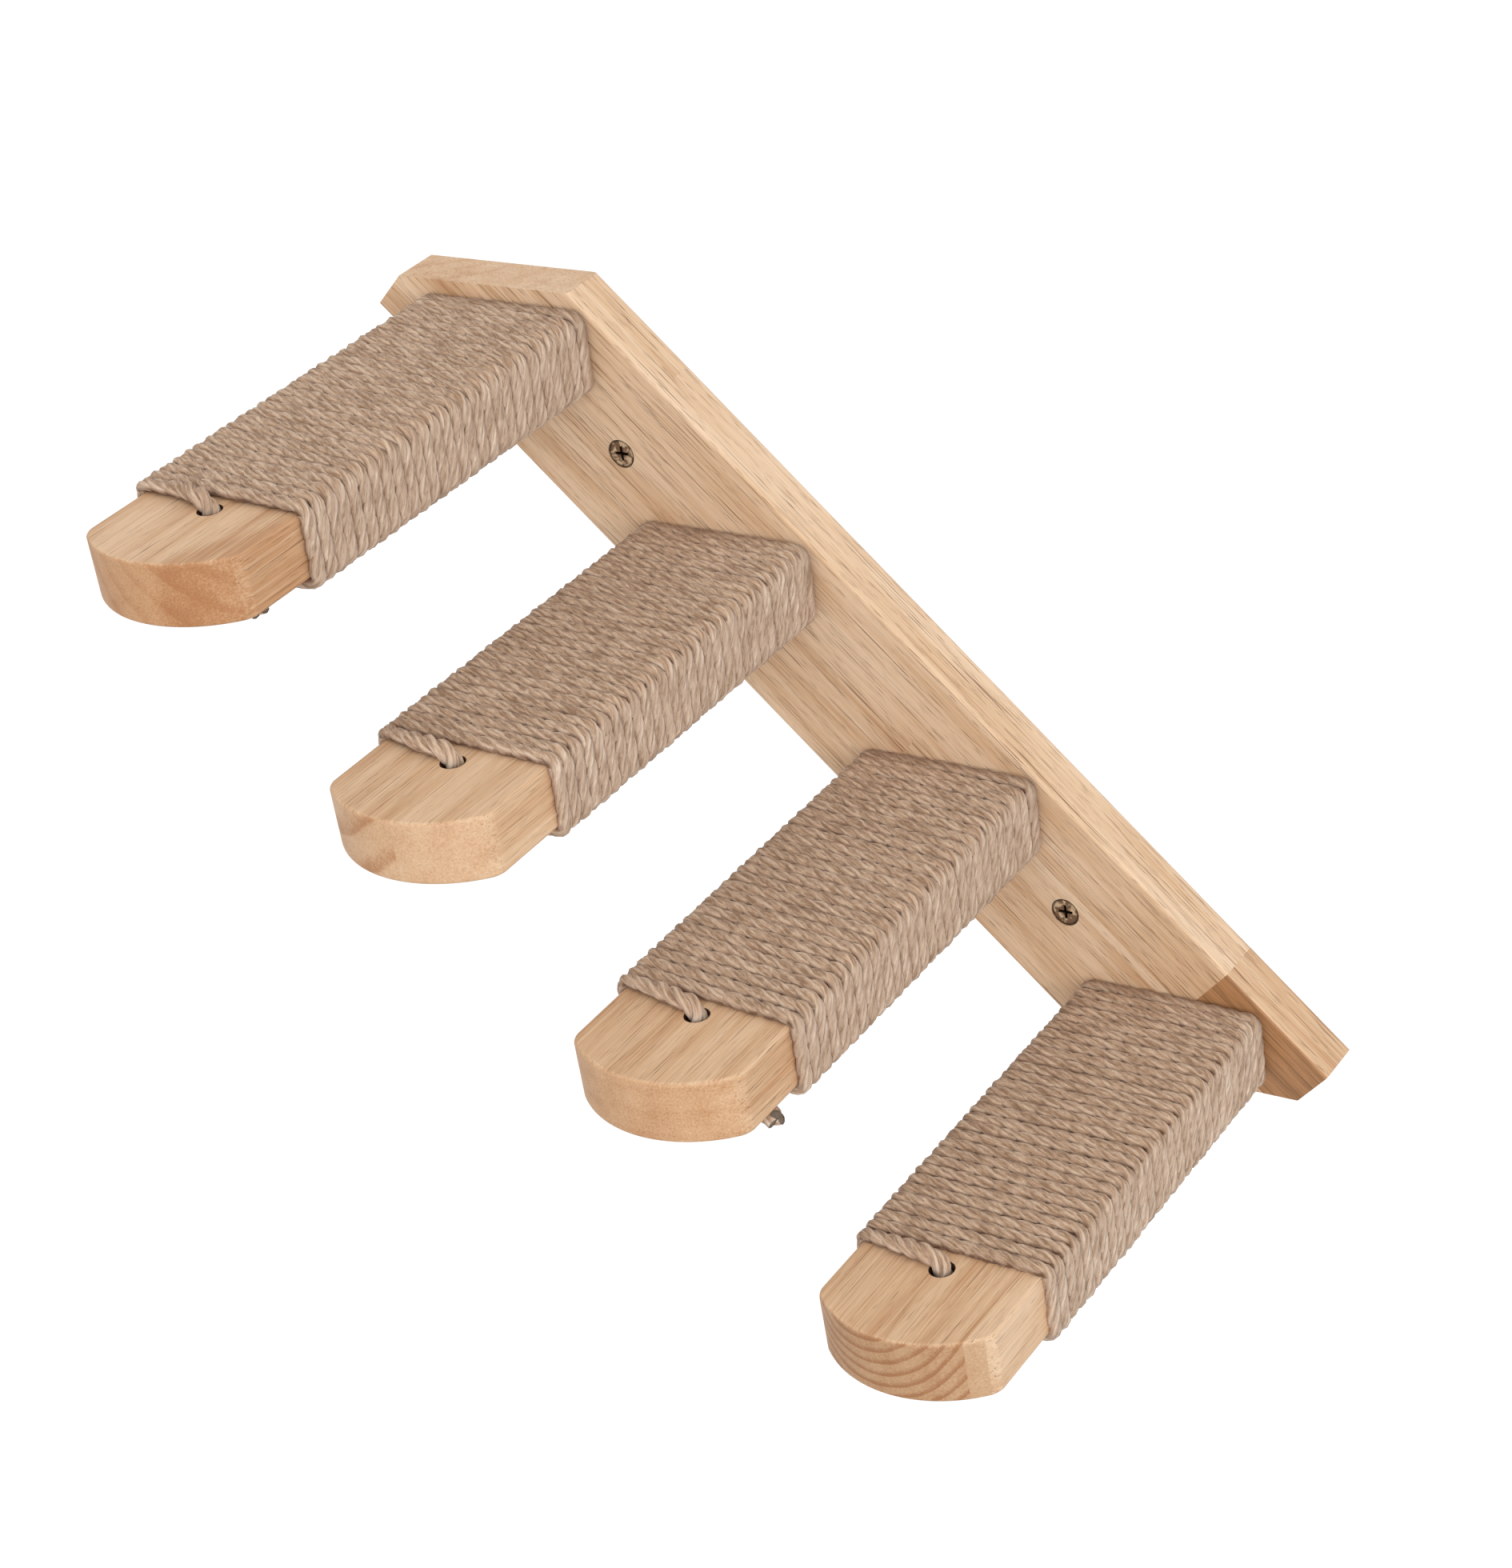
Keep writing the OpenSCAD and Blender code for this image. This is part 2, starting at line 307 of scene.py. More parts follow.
# %% [markdown]
# ## Wood
# Plank and treads are a pale hardwood: a quiet tan ground, soft growth rings, long fine fibres and
# short brown pores. A picture of wood would show the same face on every side. Here the pattern is
# solid: it is worked out from the distance to the tree's heart and from noises stretched along the
# grain, so the long faces, the ends and the eased edges all agree with each other. A piece can be
# glued up from staves, and each stave then comes from another stretch of the tree.

# %% Colours and figure of wood
wood_pale = paint(238, 207, 174)
wood_mid = paint(222, 184, 146)
wood_deep = paint(190, 138, 94)
wood_heart = paint(150, 106, 64)
wood_pore = paint(130, 90, 60)
# The next colour is painted shade for the rope holes.
wood_hole_shade = paint(74, 48, 30)

# Where each colour starts to take over from the darker one before it, and where it has.
wood_steps = [(-0.5, 0.0, wood_deep), (0.0, 0.62, wood_mid), (0.45, 1.0, wood_pale)]

# The length along the grain and the width across it, in millimetres.
drift_size = (190.0, 22.0)
band_size = (120.0, 9.0)
grain_size = (60.0, 2.4)
fibre_size = (34.0, 0.7)
streak_size = (30.0, 0.55)
pore_size = (8.0, 0.35)
ring_drift = 4.0
stave_sidestep = 0.37

# A face counts as end grain as it turns to look along the grain. Rings are faint on the other
# faces, and veins and pores lose a part of their strength on end grain.
end_grain = (0.35, 0.95)
side_rings = 0.2
end_vein_loss, end_pore_loss = 0.45, 0.6
late_wood = (0.40, 0.88)
pore_cut = (0.60, 0.76)
short_pores, long_pores = 0.45, 0.55
band_share, grain_share = 0.85, 0.3
wood_relief = 0.12 * MM

# Where mask is 1, the wood is lighter by that much, comes from a place that is shifted by so many
# millimetres, and has bolder rings: -1 hides them, and 1 makes them twice as strong.
Stave = namedtuple("Stave", "mask lighter shift bolder")


# %% Wood finish
def wood_finish(name, lay, seed, pith, ring, tone, rings, end, figure=1.0, staves=(), hole_shade=None):
    """Solid wood.

    lay gives the lengths along, across and through the grain, seed is where along the tree the piece
    was cut, and pith is the tree's heart across and through. ring is the width of a year, rings the
    contrast of the years, tone the lightness, end the tint of the end grain and figure the strength
    of bands and pores. hole_shade is 1 in holes, which get a dark painted shade.
    """
    finish = Finish(name)
    x, y, z = finish.place_in_mm()
    along, across, through = lay(x, y, z)
    end_share = abs(lay(*finish.facing(), turn_only=True)[0]).ease(*end_grain)
    along = along + seed
    light = tone
    contrast = rings * (side_rings + end_share * (1 - side_rings))
    for stave in staves:
        where = stave.mask(x, y, z)
        along = along + where * stave.shift
        across = across + where * (stave.shift * stave_sidestep)
        light = light + where * stave.lighter
        contrast = contrast * (1 + where * stave.bolder)

    def figured(size, **look):
        """Noise with lumps of this length and width."""
        return finish.noise(along / size[0], across / size[1], through / size[1], **look)

    drift = figured(drift_size, detail=1.0)
    band = figured(band_size)
    grain = figured(grain_size, detail=1.0)
    fibre = figured(fibre_size, detail=3.0, roughness=0.65)
    pores = figured(pore_size, detail=1.0).ease(*pore_cut)
    streaks = figured(streak_size, detail=1.0).ease(*pore_cut)
    radius = distance(across - pith[0], through - pith[1]) + (drift - 0.5) * ring_drift
    years = radius / ring
    year = years.maths("FRACT", years)
    late = year.ease(*late_wood) * (1 - year.ease(late_wood[1], 1.0))
    pore_mask = pores * short_pores + streaks * long_pores
    pore_mask = pore_mask * (1 - end_share * end_pore_loss) * figure
    veins = (band - 0.5) * band_share + (grain - 0.5) * grain_share
    veins = veins * figure * (1 - end_share * end_vein_loss)
    light = light + veins + (fibre - 0.5) - late * contrast
    colour = wood_heart
    for start, full, paler in wood_steps:
        colour = finish.mix(light.ease(start, full), colour, paler)
    colour = finish.mix(end_share, colour, finish.mix(1.0, colour, (*end, 1.0), "MULTIPLY"))
    colour = finish.mix(pore_mask, colour, wood_pore)
    # Painted shade: the rope hole is darkened as if it lay in shadow.
    if hole_shade:
        colour = finish.mix(hole_shade(x, y, z), colour, wood_hole_shade)
    return finish.surface(
        height=fibre * 0.4 - pore_mask,
        depth=wood_relief,
        Base_Color=colour,
        Roughness=0.46 + fibre * 0.2,
    )


# %% [markdown]
# ## Plank
# The plank is glued up from staves. A pale line of sapwood runs beside the lower screw, with a
# browner stave on its right and a warm one on its left, and near the bottom the right-hand stave
# ends in a brown piece. The solid has the right shape with its eased edges, so it stays and only
# gets the finish. The grain follows the slope, so the finish first turns its directions by 45
# degrees.

# %% Directions in the plank
plank_slope = math.radians(45)
far = 1000.0


def plank_lay(x, y, z, turn_only=False):
    """Lengths down the slope, across it and into the plank.

    turn_only is not used: the plank's lengths start in the middle of the frame, so directions,
    which have no place, are worked out alike.
    """
    down = x * math.cos(plank_slope) - z * math.sin(plank_slope)
    across = x * math.sin(plank_slope) + z * math.cos(plank_slope)
    return down, across, y


def plank_zone(down=(-far, far), across=(-far, far), into=(-far, far)):
    """1 in a stretch of the plank, given by its ends in each of the three directions."""

    def mask(x, y, z):
        parts = zip(plank_lay(x, y, z), (down, across, into))
        inside = [part.past(low) * (1 - part.past(high)) for part, (low, high) in parts]
        return inside[0] * inside[1] * inside[2]

    return mask


def put_finish(name, material):
    """Gives a solid its finish."""
    for slot in nodes[name].material_slots:
        slot.material = material


# %% Plank
glue_line, front_edge = 7.5, 32.2
warm_from, sapwood_from, brown_from = 30.0, 60.0, 154.0
sapwood_left, sapwood_right = 4.8, 8.4
plank_middle = -9.0
rear_layer_to, rear_layer_side = -108.6, 31.2

right_stave = plank_zone(across=(glue_line, far))
warm_stave = plank_zone((warm_from, far), (-far, sapwood_left))
sapwood = plank_zone((sapwood_from, brown_from), (sapwood_left, sapwood_right))
browner_stave = plank_zone((sapwood_from, brown_from), (sapwood_right, front_edge))
brown_end = plank_zone((brown_from, far), (glue_line, far))
brown_front = plank_zone((brown_from, far), (glue_line, front_edge), (-far, plank_middle))
rear_layer = plank_zone((-far, rear_layer_to), (rear_layer_side, far), (plank_middle, far))

plank_wood = wood_finish(
    "plank_wood",
    plank_lay,
    seed=40.0,
    pith=(-46.0, 30.0),
    ring=6.5,
    tone=0.63,
    rings=0.18,
    end=(0.95, 0.92, 0.90),
    figure=1.35,
    staves=[
        Stave(right_stave, lighter=0.14, shift=310.0, bolder=-0.5),
        Stave(warm_stave, lighter=-0.07, shift=150.0, bolder=0.0),
        Stave(sapwood, lighter=0.34, shift=60.0, bolder=-1.0),
        Stave(browner_stave, lighter=-0.17, shift=120.0, bolder=0.0),
        Stave(brown_end, lighter=-0.32, shift=170.0, bolder=0.0),
        Stave(brown_front, lighter=-0.62, shift=0.0, bolder=9.0),
        Stave(rear_layer, lighter=-0.2, shift=90.0, bolder=0.0),
    ],
)
put_finish("back_board", plank_wood)

# %% [markdown]
# ## Treads
# Each tread comes from another board, so each has its own heart, ring width and lightness: the first
# two have slanting rings, the third is plain, and the fourth shows them as smiles on its nose. Near
# the right-hand corner the first comes close to the tree's heart, and the second and fourth are
# glued from two staves. End grain drinks more lacquer, so the noses are warmer than the sides.

# %% Places on a tread
hole_depth, hole_radius = 169.5, 4.1
heart_slant, heart_depth, heart_reach = 0.6, 175.0, (20.0, 29.0)


def box_in_mm(name):
    """The two corners of a solid's box, in millimetres."""
    return [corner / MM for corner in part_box(name)]


def middle(name):
    """The middle of a solid's box, in millimetres."""
    low, high = box_in_mm(name)
    return (low + high) / 2


def tread_lay(name):
    """Lengths along a tread, across it and up through it; directions are only turned."""
    centre = middle(name)

    def lay(x, y, z, turn_only=False):
        return (y, x, z) if turn_only else (y, x - centre.x, z - centre.z)

    return lay


def right_of(name, edge):
    """1 further to the right on a tread than edge."""
    centre = middle(name)
    return lambda x, y, z: (x - centre.x).past(edge)


def rope_hole(name):
    """1 in the hole near a nose."""
    centre = middle(name)
    return lambda x, y, z: 1 - distance(x - centre.x, y + hole_depth).past(hole_radius)


def heart_corner(name):
    """1 in the corner of a nose's right side, where the board comes close to the tree's heart."""
    centre = middle(name)
    return lambda x, y, z: (x - centre.x - heart_slant * (y + heart_depth)).ease(*heart_reach)


# %% Treads
tread_names = [f"tread_{n}" for n in (1, 2, 3, 4)]
tread_figures = {
    "tread_1": {
        "seed": 0.0,
        "pith": (48.0, 42.0),
        "ring": 9.0,
        "tone": 0.49,
        "rings": 0.14,
        "end": (0.87, 0.74, 0.62),
        "staves": [Stave(heart_corner("tread_1"), lighter=-0.26, shift=0.0, bolder=0.0)],
    },
    "tread_2": {
        "seed": 900.0,
        "pith": (-45.0, 60.0),
        "ring": 13.3,
        "tone": 0.54,
        "rings": 0.36,
        "end": (0.95, 0.90, 0.86),
        "staves": [Stave(right_of("tread_2", 2.5), lighter=0.04, shift=130.0, bolder=-1.0)],
    },
    "tread_3": {
        "seed": 1800.0,
        "pith": (12.0, -150.0),
        "ring": 8.0,
        "tone": 0.43,
        "rings": 0.07,
        "end": (0.94, 0.87, 0.80),
    },
    "tread_4": {
        "seed": 2700.0,
        "pith": (-9.0, 30.0),
        "ring": 3.8,
        "tone": 0.49,
        "rings": 0.46,
        "end": (0.74, 0.66, 0.58),
        "staves": [Stave(right_of("tread_4", 23.2), lighter=0.13, shift=210.0, bolder=-1.0)],
    },
}
for name in tread_names:
    figure = tread_figures[name]
    put_finish(name, wood_finish(f"{name}_wood", tread_lay(name), hole_shade=rope_hole(name), **figure))

# %% [markdown]
# ## Rope windings
# Every tread carries 28 or 29 tight turns of three-strand jute. A plain tube would look like plastic
# pipe, so the winding is built as a rope maker builds it: first the line that the rope follows, then
# three strands that twist round this line, as one curve with a round bevel. The line starts in a
# blind hole under the tread, each turn lies against the one before it, and the last one crosses the
# top and dives through the hole near the nose.

# %% Sizes of the rope, in millimetres
strand_radius = 1.58
loose_offset = 1.57
rope_bite = 0.1
loose_lift = strand_radius + loose_offset - rope_bite
tread_edge = 1.2
first_depth, anchor_depth = 20.5, 22.04
print("loose rope is", round(2 * (strand_radius + loose_offset), 2), "mm thick")

# %% Lines of points
curve_step, line_step = 0.7, 1.45


def length_along(line):
    """How far along the line each of its points lies."""
    return np.concatenate([[0], np.cumsum(np.linalg.norm(np.diff(line, axis=0), axis=1))])


def smooth_through(points):
    """A smooth line through a few points, with a point at each step."""
    knots = np.array(points, float)
    ends = np.vstack([2 * knots[0] - knots[1], knots, 2 * knots[-1] - knots[-2]])
    line = []
    for a, b, c, d in zip(ends, ends[1:], ends[2:], ends[3:]):
        count = max(2, int(np.linalg.norm(c - b) / curve_step))
        for t in np.linspace(0, 1, count, endpoint=False)[:, None]:
            bend = (2 * a - 5 * b + 4 * c - d) * t**2 + (3 * b - a - 3 * c + d) * t**3
            line.append(0.5 * (2 * b + (c - a) * t + bend).ravel())
    return np.array(line + [knots[-1]])


def even_steps(line):
    """The same line with points the same distance apart."""
    walked = length_along(line)
    at = np.linspace(0, walked[-1], int(walked[-1] / line_step) + 1)
    return np.stack([np.interp(at, walked, line[:, axis]) for axis in range(3)], axis=1)


# %% Turns
steps_per_turn = 120
corner_steps = 10
turn_step = 4.5
turn_wander = 0.1
fan_growth = 4

# Half a turn passes before the winding moves on, and its end is measured a quarter turn early.
lead_in, end_early = 0.5, 0.25


def turn_outline(half_width, half_height, lift):
    """One turn seen from the nose, from the middle of the underside round by the left.

    Gives x and z of its points, and how far along it they lie.
    """
    reach = tread_edge + lift
    points = [(0.0, -half_height - lift)]
    for corner, (side, top) in enumerate(((-1, -1), (-1, 1), (1, 1), (1, -1))):
        for step in range(corner_steps + 1):
            angle = -math.pi / 2 * (1 + corner + step / corner_steps)
            points.append((
                side * (half_width - tread_edge) + reach * math.cos(angle),
                top * (half_height - tread_edge) + reach * math.sin(angle),
            ))
    points.append(points[0])
    outline = np.array(points)
    return outline, length_along(outline)


def turn_depths(wrap, share, across, wander):
    """How far from the wall each step of each turn lies, and the pitch.

    The first turn leans back against the plank, the last turns fan out on the right of the tread,
    and no turn enters the one before it.
    """
    turns = wrap["turns"]
    pitch = (wrap["end"] - wrap["skew"] * across.max() - first_depth) / (turns - lead_in - end_early)
    leaning_back = {
        0.0: anchor_depth,
        0.02: anchor_depth,
        0.16: first_depth,
        0.5: first_depth,
        0.76: first_depth + pitch * (0.76 - lead_in),
        1.0: anchor_depth + turn_step,
    }
    depths = [np.interp(share, list(leaning_back), list(leaning_back.values()))]
    for turn in range(1, turns + 1):
        helix = first_depth + pitch * (turn + share - lead_in) + wrap["skew"] * across
        fan = wrap["fan"] * (across / across.max() + 1) / 2 * ((turn + share) / turns) ** fan_growth
        free = helix + fan + wander.normal(0, turn_wander)
        depths.append(np.maximum(free, depths[-1] + turn_step))
    return np.concatenate(depths), pitch


# %% [markdown]
# ## Both ends of the rope
# Real rope is held at both ends. Under the tread by the plank it comes out of its blind hole and
# bends to the left, where the first turn starts. At the nose it leaves the last turn on the left,
# slants across the top, hugs the side of the hole that it is pulled against, and lies under the
# tread as a short tail. A few points say all of this, and a smooth line is drawn through them.

# %% Start and end
# The rope's x on the tread and its height above the first turn, on the way out of the blind hole.
anchor_route = [(0.0, 9.0), (0.0, 5.0), (0.0, 2.2), (-1.2, 0.4), (-3.4, 0.0)]
hole_rim, hole_side, hole_pull = 2.2, -0.5, 0.8
rim_drop = 1.5


def rope_start(under, first):
    """Points from the blind hole to the first point of the winding."""
    return [(x, -anchor_depth, under + up) for x, up in anchor_route] + [first]


def rope_end(last, half_height, wrap):
    """Points from the last point of the winding through the hole to the end of the tail."""
    over, top, below = half_height + wrap["lift"], half_height + loose_lift, -half_height - loose_lift
    bend, pulled = wrap["bend"], -hole_depth + hole_pull
    through = [
        last,
        (last[0] + 7, (last[1] - bend) / 2, (over + top) / 2),
        (-14.0, -bend, top),
        (-7.5, -(hole_depth + 1.5 * bend) / 2.5, top + 0.1),
        (hole_side - 1.5 * hole_rim, pulled + 0.6, top - 0.2),
        (hole_side - 0.5 * hole_rim, pulled + 0.2, top - 1.7),
        (hole_side, pulled, half_height - rim_drop),
        (0.0, -hole_depth, 0.0),
        (-hole_side, -hole_depth, -half_height + rim_drop),
        (-hole_side + 0.5 * hole_rim, -hole_depth - 0.2, below + 1.7),
        (-hole_side + 1.5 * hole_rim, -hole_depth - 0.3, below + 0.2),
    ]
    tail_x, tail_y, _ = through[-1]
    droop = wrap["fray"] * strand_radius / 2
    tail = [
        (tail_x + part * wrap["tail"], tail_y - part * wrap["lean"], below - part * droop)
        for part in (0.35, 0.7, 1.0)
    ]
    return through + tail


# %% The whole line
Winding = namedtuple("Winding", "line wound pitch turn_length")
first_place = 0.04
smooth_reach = 4


def winding_line(name, wrap, wander):
    """The rope's middle line on a tread, and how far along it the winding ends."""
    low, high = box_in_mm(name)
    centre = (low + high) / 2
    half_width, half_height = (high.x - low.x) / 2, (high.z - low.z) / 2
    outline, walked = turn_outline(half_width, half_height, wrap["lift"])
    turn_length = walked[-1]
    walked = walked / turn_length
    share = np.arange(steps_per_turn) / steps_per_turn
    x = np.interp(share, walked, outline[:, 0])
    z = np.interp(share, walked, outline[:, 1])
    depths, pitch = turn_depths(wrap, share, x, wander)
    over_left = walked[2 * (corner_steps + 1)]
    places = np.arange(len(depths)) / steps_per_turn
    keep = (places > first_place) & (places < wrap["turns"] + over_left)
    window = 2 * smooth_reach + 1
    padded = np.pad(depths[keep], smooth_reach, mode="edge")
    depths = np.convolve(padded, np.ones(window) / window, mode="valid")
    rounds = wrap["turns"] + 1
    loops = np.stack([np.tile(x, rounds)[keep], -depths, np.tile(z, rounds)[keep]], axis=1)
    start = smooth_through(rope_start(-half_height - wrap["lift"], loops[0]))
    end = smooth_through(rope_end(loops[-1], half_height, wrap))
    wound = np.vstack([start[:-1], loops[:-1]])
    line = even_steps(np.vstack([wound, end])) + np.array([centre.x, 0, centre.z])
    return Winding(line, length_along(wound)[-1], pitch, turn_length)


# %% [markdown]
# ## Strands
# The three strands lie a third of a turn apart on a helix about the rope's line. On the tread the
# pull flattens the rope: there the helix is low from the wood outwards, wide enough along the tread
# to press on the next turn, and moved so that its outer side keeps the height of a pressed rope. The
# inner sides may lie in the wood, where nobody sees them. Towards the hole the helix is round again.
# The strands' thickness and twist wander a little, as hand-spun jute does.

# %% Strands of a rope
strand_count = 3
strand_rise = 0.46
turn_overlap = 0.14
loosening = 12.0
fray_length = 9.0

# Each wander has a knot after so many points, and strays by so much.
twist_wander, reach_wander, girth_wander = (25, 0.4), (6, 0.06), (4, 0.05)


def directions(line):
    """Two directions at right angles to the line at each point: away from the tread, and along it."""
    ahead = np.gradient(line, axis=0)
    ahead /= np.linalg.norm(ahead, axis=1)[:, None]
    outward = np.stack([-ahead[:, 2], np.zeros(len(line)), ahead[:, 0]], axis=1)
    outward /= np.linalg.norm(outward, axis=1)[:, None]
    return outward, np.cross(ahead, outward)


def soft_steps(wander, count, every, amount):
    """Numbers that wander smoothly about 0."""
    knots = wander.normal(0, amount, count // every + 2)
    return np.interp(np.arange(count) / every, np.arange(len(knots)), knots)


def strand_lines(winding, wrap, wander):
    """The middle line of each strand, in millimetres, with its thickness at each point."""
    line = winding.line
    walked = length_along(line)
    outward, beside = directions(line)
    leaving = [winding.wound, winding.wound + loosening]
    wound_wide = winding.pitch / 2 - strand_radius + turn_overlap
    wound_sunk = strand_rise + strand_radius - wrap["lift"]
    high = np.interp(walked, leaving, [strand_rise, loose_offset])
    sunk = np.interp(walked, leaving, [wound_sunk, 0])
    wide = np.interp(walked, leaving, [wound_wide, loose_offset])
    fray = wrap["fray"] * np.clip(1 - (walked[-1] - walked) / fray_length, 0, 1)
    twist = 2 * math.pi / strand_count * wrap["strands"] * walked / winding.turn_length
    twist = twist + soft_steps(wander, len(line), *twist_wander)
    strands = []
    for strand in range(strand_count):
        angle = twist + 2 * math.pi * strand / strand_count
        reach = 1 + soft_steps(wander, len(line), *reach_wander)
        up = reach * high * np.cos(angle) - sunk
        side = reach * (1 + fray) * wide * np.sin(angle)
        girth = 1 + fray / 2 + soft_steps(wander, len(line), *girth_wander)
        strands.append((line + up[:, None] * outward + side[:, None] * beside, girth))
    return strands


# %% [markdown]
# ## From lines to a mesh
# A curve with a round bevel draws each strand as a tube. It becomes a mesh, because that keeps the
# UV map that runs along and round each strand, and its end caps are welded on.

# %% Mesh of a rope
weld_distance = 0.002 * MM


def rope_mesh(name, strands):
    """One mesh of round tubes along the strands."""
    curve = bpy.data.curves.new(name, "CURVE")
    curve.dimensions = "3D"
    curve.bevel_depth = strand_radius * MM
    curve.bevel_resolution = 2
    curve.use_fill_caps = True
    for line, girth in strands:
        spline = curve.splines.new("POLY")
        spline.points.add(len(line) - 1)
        spline.points.foreach_set("co", np.hstack([line * MM, np.ones((len(line), 1))]).ravel())
        spline.points.foreach_set("radius", girth)
    model = bpy.data.objects.new(name, curve)
    scene.collection.objects.link(model)
    evaluated = model.evaluated_get(bpy.context.evaluated_depsgraph_get())
    mesh = bpy.data.meshes.new_from_object(evaluated)
    bpy.data.objects.remove(model)
    mesh.name = name
    bm = bmesh.new()
    bm.from_mesh(mesh)
    bmesh.ops.remove_doubles(bm, verts=bm.verts, dist=weld_distance)
    bm.to_mesh(mesh)
    bm.free()
    return mesh


# %% [markdown]
# ## Jute
# Jute is dull and hairy. Its yarns show as fine lines along each strand, some paler and some
# browner, and whole stretches of the rope differ in tone. The lines follow the strand's own UV map,
# with the angle round the strand taken as a point on a circle, so that the map's seam doesn't show.
# Painted shade darkens the rope between the turns and by the plank, and tints faces that look up.

# %% Colours and yarns of jute
jute_pale = paint(230, 209, 188)
jute_mid = paint(200, 173, 150)
jute_deep = paint(158, 129, 104)
# The next colour is painted shade, for the gaps between turns and for the rope by the plank.
jute_shade = paint(110, 75, 48)
# A tint of painted shade for faces that look up.
jute_top_shade = (0.87, 0.79, 0.71, 1.0)
jute_steps = [(0.1, 0.55, jute_mid), (0.5, 0.95, jute_pale)]
jute_relief = 0.25 * MM

# The lumps round a strand, and the length of each along it in millimetres.
yarn_lumps, yarn_length = 1.5, 5.0
hair_lumps, hair_length = 4.0, 2.2
yarn_count, yarn_lay, yarn_sway = 4, 60.0, 4
stretch_width, stretch_depth = 14.0, 5.0
speck_size = 2.6

# How strongly each shows in the tone, and how much of that is left where a face doesn't look up.
yarn_contrast, hair_contrast, ridge_contrast, stretch_contrast = 1.4, 1.4, 0.2, 0.6
side_contrast, looks_up = 0.65, (0.2, 0.9)

# The painted shade in a gap is darkest below the first height and ends at the second, both in lifts
# above the wood.
gap_heights, side_gaps = (0.6, 1.55), 0.3
speck_cut, speck_least = (0.35, 0.6), 0.45
# The painted shade is left out near the hole, and is added close to the plank.
hole_clear = (4.0, 8.0)
plank_shade, plank_reach = 0.55, (-24.0, -19.0)


# %% Jute finish
def gap_shade(finish, tread, lift, x, y, z):
    """How much painted shade a point gets between the turns or close to the plank."""
    low, high = box_in_mm(tread)
    centre, half = (low + high) / 2, (high - low) / 2
    out_x = (abs(x - centre.x) - half.x).greater(0.0)
    out_z = (abs(z - centre.z) - half.z).greater(0.0)
    from_hole = distance(x - centre.x, y + hole_depth)
    on_top = (z - centre.z - half.z).past(0.0)
    deep = 1 - distance(out_x, out_z).ease(*(lift * height for height in gap_heights))
    deep = deep * from_hole.ease(*hole_clear) * (side_gaps + on_top * (1 - side_gaps))
    speck = finish.noise(x / speck_size, y / speck_size, z / speck_size, detail=1.0)
    speckled = deep * (speck_least + speck.ease(*speck_cut) * (1 - speck_least))
    return speckled.greater(y.ease(*plank_reach) * plank_shade)


def jute_finish(name, tread, length, lift):
    """Jute for a rope of this length in millimetres, wound on a tread with this lift."""
    finish = Finish(name)
    x, y, z = finish.place_in_mm()
    along, around, _ = finish.parts(finish.node("ShaderNodeTexCoord", out="UV"))
    walked = along * length
    angle = around * (2 * math.pi) - walked * (2 * math.pi / yarn_lay)
    ring_x = angle.maths("COSINE", angle)
    ring_y = angle.maths("SINE", angle)
    yarn = finish.noise(ring_x * yarn_lumps, ring_y * yarn_lumps, walked / yarn_length, roughness=0.6)
    hair = finish.noise(ring_x * hair_lumps, ring_y * hair_lumps, walked / hair_length, roughness=0.6)
    lines = angle * yarn_count + (yarn - 0.5) * yarn_sway
    ridge = lines.maths("COSINE", lines)
    stretch = finish.noise(x / stretch_width, y / stretch_depth, z / stretch_width)
    facing_up = finish.facing()[2].ease(*looks_up)
    streaks = (yarn - 0.5) * yarn_contrast + (hair - 0.5) * hair_contrast + ridge * ridge_contrast
    streaks = streaks * (side_contrast + facing_up * (1 - side_contrast))
    tone = 0.5 + streaks + (stretch - 0.5) * stretch_contrast
    colour = jute_deep
    for start, full, paler in jute_steps:
        colour = finish.mix(tone.ease(start, full), colour, paler)
    # Painted shade between the turns and by the plank.
    colour = finish.mix(gap_shade(finish, tread, lift, x, y, z), colour, jute_shade)
    # Painted shade: faces that look up are darker and warmer.
    colour = finish.mix(facing_up, colour, finish.mix(1.0, colour, jute_top_shade, "MULTIPLY"))
    return finish.surface(
        height=ridge * 0.45 + hair * 0.7,
        depth=jute_relief,
        Base_Color=colour,
        Roughness=0.85,
        Specular_IOR_Level=0.2,
        Sheen_Weight=0.15,
        Sheen_Roughness=0.6,
    )


# %% [markdown]
# ## Winding the four treads
# The four windings differ as hand work does: the second and fourth have one turn more, some lie a
# little askew, and the tails under the treads are cut at different lengths. Each mesh takes the
# place of a plain wound solid.

# %% Windings
rope_wraps = {
    "tread_1": {"turns": 28, "strands": 27.45, "lift": 2.1, "end": 162.3, "skew": 0.03, "fan": 1.2},
    "tread_2": {"turns": 29, "strands": 27.72, "lift": 1.9, "end": 159.1, "skew": -0.01, "fan": 2.4},
    "tread_3": {"turns": 28, "strands": 27.72, "lift": 1.92, "end": 161.1, "skew": 0.03, "fan": 2.7},
    "tread_4": {"turns": 29, "strands": 27.72, "lift": 1.62, "end": 157.6, "skew": -0.055, "fan": 3.1},
}
rope_ends = {
    "tread_1": {"bend": 165.2, "tail": 18.5, "lean": 12.0, "fray": 0.1},
    "tread_2": {"bend": 166.6, "tail": 16.0, "lean": 5.0, "fray": 0.3},
    "tread_3": {"bend": 166.0, "tail": 26.2, "lean": 9.0, "fray": 0.25},
    "tread_4": {"bend": 166.8, "tail": 17.0, "lean": 6.0, "fray": 0.3},
}
